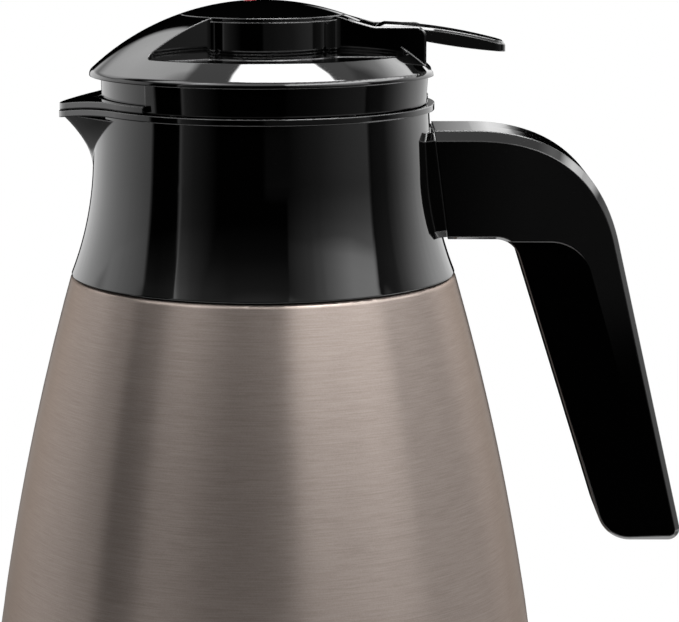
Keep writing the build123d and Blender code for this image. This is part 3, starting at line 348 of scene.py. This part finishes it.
PANELS = {
    # (azimuth, brightness) stops, then (elevation, share of it) stops; beyond its last
    # stop on either side a list keeps that stop's value
    "left_wall": (
        ((-163, 0), (-161, 1.15), (-140, 1.3), (-120, 1.05), (-100, 0.77), (-78, 0.45), (-77, 0)),
        ((-26, 0.1), (-16, 0.15), (-12, 0.85), (0, 1.0), (9, 1.1), (13, 0.5), (23, 0.0)),
    ),
    "left_front_wall": (
        ((-130, 0), (-108, 0.9), (-78, 0.45), (-77, 0)),
        ((0, 0.0), (6, 1.0), (9, 1.15), (20, 1.2), (24, 0.0)),
    ),
    "left_top_wall": (
        ((-163, 0), (-161, 0.8), (-150, 0.95), (-124, 1.0), (-110, 0.0)),
        ((12, 0.0), (22, 1.3), (36, 2.1), (50, 2.5), (62, 2.6), (66, 0.0)),
    ),
    "left_strip": (
        ((-56, 0), (-55, 0.46), (-53, 0.18), (-45, 0.09), (-28, 0.0)),
        ((-30, 0.5), (-4, 0.8), (8, 1.0), (24, 2.5), (38, 5.0), (46, 0.0)),
    ),
    "front_top": (
        ((-98, 0), (-88, 2.0), (-76, 1.9), (-69, 1.3), (-57, 1.5), (-54, 3.3), (-40, 2.0),
         (-20, 0.95), (60, 0.8), (150, 0)),
        ((9, 0.0), (20, 0.03), (30, 0.1), (40, 1.3), (54, 1.6), (62, 0.3), (80, 0.2)),
    ),
    "right_low": (
        ((17, 0), (18, 0.05), (40, 0.25), (60, 0.6), (76, 0.8), (78, 0.0)),
        ((-16, 0.1), (-4, 0.25), (6, 0.6), (14, 1.1), (22, 0.0)),
    ),
    "low_front": (
        ((2, 0), (4, 0.045), (17, 0.05), (30, 0.07), (60, 0.1), (78, 0.14), (79, 0)),
        ((-11.5, 0.0), (-10, 1.0), (-4, 1.0), (3, 0.0)),
    ),
    "right_high": (
        ((17, 0), (18, 0.1), (32, 0.3), (42, 0.6), (50, 1.05), (60, 1.6), (77, 1.7), (78, 0.0)),
        ((6, 0.0), (10, 0.25), (16, 0.9), (20, 1.0), (40, 1.0), (52, 0.0)),
    ),
    "right_top": (
        ((17, 0), (18, 5.4), (30, 6.3), (50, 5.7), (76, 5.6), (88, 6.0), (98, 4.0), (110, 1.8),
         (126, 0)),
        ((30, 0.0), (35, 0.95), (42, 1.0), (46, 0.7), (51, 0.0)),
    ),
    "right_gap": (
        ((80, 0), (86, 3.0), (96, 4.4), (114, 4.8), (122, 0)),
        ((20, 0.0), (27, 0.9), (38, 1.0), (46, 0.0)),
    ),
    "right_floor": (
        ((74, 0), (84, 2.2), (114, 2.2), (124, 0)),
        ((-42, 0.0), (-36, 1.0), (-20, 1.0), (-13, 0.0)),
    ),
    "right_back": (
        ((122, 0), (128, 0.8), (136, 3.2), (150, 2.8), (156, 0)),
        ((16, 0.0), (24, 0.8), (30, 1.0), (36, 0.85), (43, 0.4), (50, 0.25), (56, 0.2), (60, 0)),
    ),
    "back_low": (
        ((167, 0), (169, 1.3), (176, 1.3), (178, 0)),
        ((4, 0.0), (5, 1.0), (9.5, 1.0), (11, 0.0)),
    ),
    "right_wall": (
        ((78, 0), (79, 0.04), (92, 0.07), (102, 0.28), (112, 0.6), (126, 1.1), (162, 1.7),
         (163, 0)),
        ((-24, 0.4), (-6, 0.7), (4, 1.0), (14, 1.5), (26, 1.5), (46, 0.6), (52, 0.0)),
    ),
}
CEILING_BRIGHTNESS = 0.5
CEILING_START = 50          # elevations between which the ceiling comes up
CEILING_FULL = 58

# The overhead lamp is a softbox in a level plane above the carafe. Its sides are given as
# shares of that plane's height, after a turn about the vertical.
OVERHEAD_TURN = -27
OVERHEAD_ACROSS = (-0.205, 0.46)
OVERHEAD_ALONG = (-0.105, 0.39)
OVERHEAD_EDGE = 0.02
OVERHEAD_STRENGTH = 11.5
OVERHEAD_LOWEST = 0.3       # upward part of a direction, below which there is no lamp
LEAST_RISE = 0.05           # keeps the division by a direction's upward part finite


def level(tree, angle, stops, limit):
    """Brightness along one angle that runs from -limit to limit, straight between stops."""
    top = max(value for place, value in stops)
    share = add(tree, "Math", {0: angle, 1: 0.5 / limit, 2: 0.5}, operation="MULTIPLY_ADD")
    ramp = add(tree, "ValToRGB", {"Fac": share})
    points = ramp.color_ramp.elements
    places = [0.5 + 0.5 * place / limit for place, value in stops]
    points[0].position = places[0]
    points[1].position = places[-1]
    for place in places[1:-1]:
        points.new(place)
    for point, (place, value) in zip(points, stops):
        point.color = (value / top, value / top, value / top, 1.0)
    return add(tree, "Math", {0: ramp, 1: top}, operation="MULTIPLY")


def soft_window(tree, value, ends, edge):
    """1 between two values and 0 outside, with soft edges inside them."""
    sides = []
    for end, step in ((ends[0], edge), (ends[1], -edge)):
        rise = {"Value": value, "From Min": end, "From Max": end + step}
        sides.append(add(tree, "MapRange", rise, interpolation_type="SMOOTHSTEP"))
    return add(tree, "Math", {0: sides[0], 1: sides[1]}, operation="MULTIPLY")


world = bpy.data.worlds.new("studio")
scene.world = world
world.use_nodes = True
sky = world.node_tree
sky.nodes.clear()
direction = add(sky, "TexCoord").outputs["Generated"]
axes = add(sky, "SeparateXYZ", {"Vector": direction}).outputs
toward_camera = add(sky, "Math", {0: axes["Y"], 1: -1.0}, operation="MULTIPLY")
bearing = add(sky, "Math", {0: axes["X"], 1: toward_camera}, operation="ARCTAN2")
azimuth = add(sky, "Math", {0: bearing}, operation="DEGREES")
slope = add(sky, "Math", {0: axes["Z"]}, operation="ARCSINE")
elevation = add(sky, "Math", {0: slope}, operation="DEGREES")
light = add(
    sky,
    "MapRange",
    {
        "Value": elevation,
        "From Min": CEILING_START,
        "From Max": CEILING_FULL,
        "To Max": CEILING_BRIGHTNESS,
    },
)
for azimuth_stops, elevation_stops in PANELS.values():
    brightness = level(sky, azimuth, azimuth_stops, 180)
    share = level(sky, elevation, elevation_stops, 90)
    panel = add(sky, "Math", {0: brightness, 1: share}, operation="MULTIPLY")
    light = add(sky, "Math", {0: light, 1: panel}, operation="MAXIMUM")

rise = add(sky, "Math", {0: axes["Z"], 1: LEAST_RISE}, operation="MAXIMUM")
right = add(sky, "Math", {0: axes["X"], 1: rise}, operation="DIVIDE")
back = add(sky, "Math", {0: axes["Y"], 1: rise}, operation="DIVIDE")
turn = radians(OVERHEAD_TURN)
lamp = add(sky, "Math", {0: axes["Z"], 1: OVERHEAD_LOWEST}, operation="GREATER_THAN")
for of_right, of_back, sides in (
    (cos(turn), sin(turn), OVERHEAD_ACROSS),
    (-sin(turn), cos(turn), OVERHEAD_ALONG),
):
    from_right = add(sky, "Math", {0: right, 1: of_right}, operation="MULTIPLY")
    from_back = add(sky, "Math", {0: back, 1: of_back}, operation="MULTIPLY")
    place = add(sky, "Math", {0: from_right, 1: from_back}, operation="ADD")
    window = soft_window(sky, place, sides, OVERHEAD_EDGE)
    lamp = add(sky, "Math", {0: lamp, 1: window}, operation="MULTIPLY")
lamp_light = add(sky, "Math", {0: lamp, 1: OVERHEAD_STRENGTH}, operation="MULTIPLY")
light = add(sky, "Math", {0: light, 1: lamp_light}, operation="MAXIMUM")

ray = add(sky, "LightPath").outputs
shows_white = add(
    sky, "Math", {0: ray["Is Camera Ray"], 1: ray["Is Transmission Ray"]}, operation="MAXIMUM"
)
strength = add(sky, "Mix", {"Factor": shows_white, "A": light, "B": 1.0}, data_type="FLOAT")
background = add(sky, "Background", {"Color": linear("#ffffff"), "Strength": strength})
add(sky, "OutputWorld", {"Surface": background})

# The handle and its cover stay out of mirror images, so that the steel and the collar
# beside them show the studio alone.
for name in ("handle", "grip_cover"):
    nodes[name].visible_glossy = False

# ---- Floor --------------------------------------------------------------------------
# White paper that takes the carafe's shadow. To the eye and in mirror images it also
# glows, weakly under the carafe and fully near its own edge, where it runs into the
# white behind it.

FLOOR_RADIUS = 0.2
FLOOR_SIDES = 96
GLOW_START = 0.35           # shares of the radius
GLOW_FULL = 0.95
GLOW_LEAST = 0.3

floor_mesh = bpy.data.meshes.new("floor")
disc = bmesh.new()
bmesh.ops.create_circle(disc, cap_ends=True, segments=FLOOR_SIDES, radius=FLOOR_RADIUS)
disc.to_mesh(floor_mesh)
disc.free()
floor = bpy.data.objects.new("floor", floor_mesh)
scene.collection.objects.link(floor)
paper, tree = new_material("white_paper")
position = add(tree, "TexCoord").outputs["Object"]
distance = add(tree, "VectorMath", {0: position}, operation="LENGTH").outputs["Value"]
glow = add(
    tree,
    "MapRange",
    {
        "Value": distance,
        "From Min": FLOOR_RADIUS * GLOW_START,
        "From Max": FLOOR_RADIUS * GLOW_FULL,
        "To Min": GLOW_LEAST,
        "To Max": 1.0,
    },
)
ray = add(tree, "LightPath").outputs
seen = ray["Is Camera Ray"]
for kind in ("Is Glossy Ray", "Is Transmission Ray"):
    seen = add(tree, "Math", {0: seen, 1: ray[kind]}, operation="MAXIMUM")
glow_share = add(tree, "Math", {0: seen, 1: glow}, operation="MULTIPLY")
matte = add(tree, "BsdfDiffuse", {"Color": linear("#f2f2f2")})
white = add(tree, "Emission", {"Color": linear("#ffffff"), "Strength": 1.0})
surface = add(tree, "MixShader", {0: glow_share, 1: matte, 2: white})
add(tree, "OutputMaterial", {"Surface": surface})
floor_mesh.materials.append(paper)

# ---- Camera -------------------------------------------------------------------------

CAMERA_PLACE = (0.0224, -0.7281, 0.2780)
CAMERA_TILT = 79.57         # degrees up from looking straight down
LENS_MM = 132.8
SENSOR_MM = 36.0

camera_data = bpy.data.cameras.new("camera")
camera_data.lens = LENS_MM
camera_data.sensor_width = SENSOR_MM
camera = bpy.data.objects.new("camera", camera_data)
camera.location = CAMERA_PLACE
camera.rotation_euler = (radians(CAMERA_TILT), 0, 0)
scene.collection.objects.link(camera)
scene.camera = camera
scene.view_settings.view_transform = "Standard"
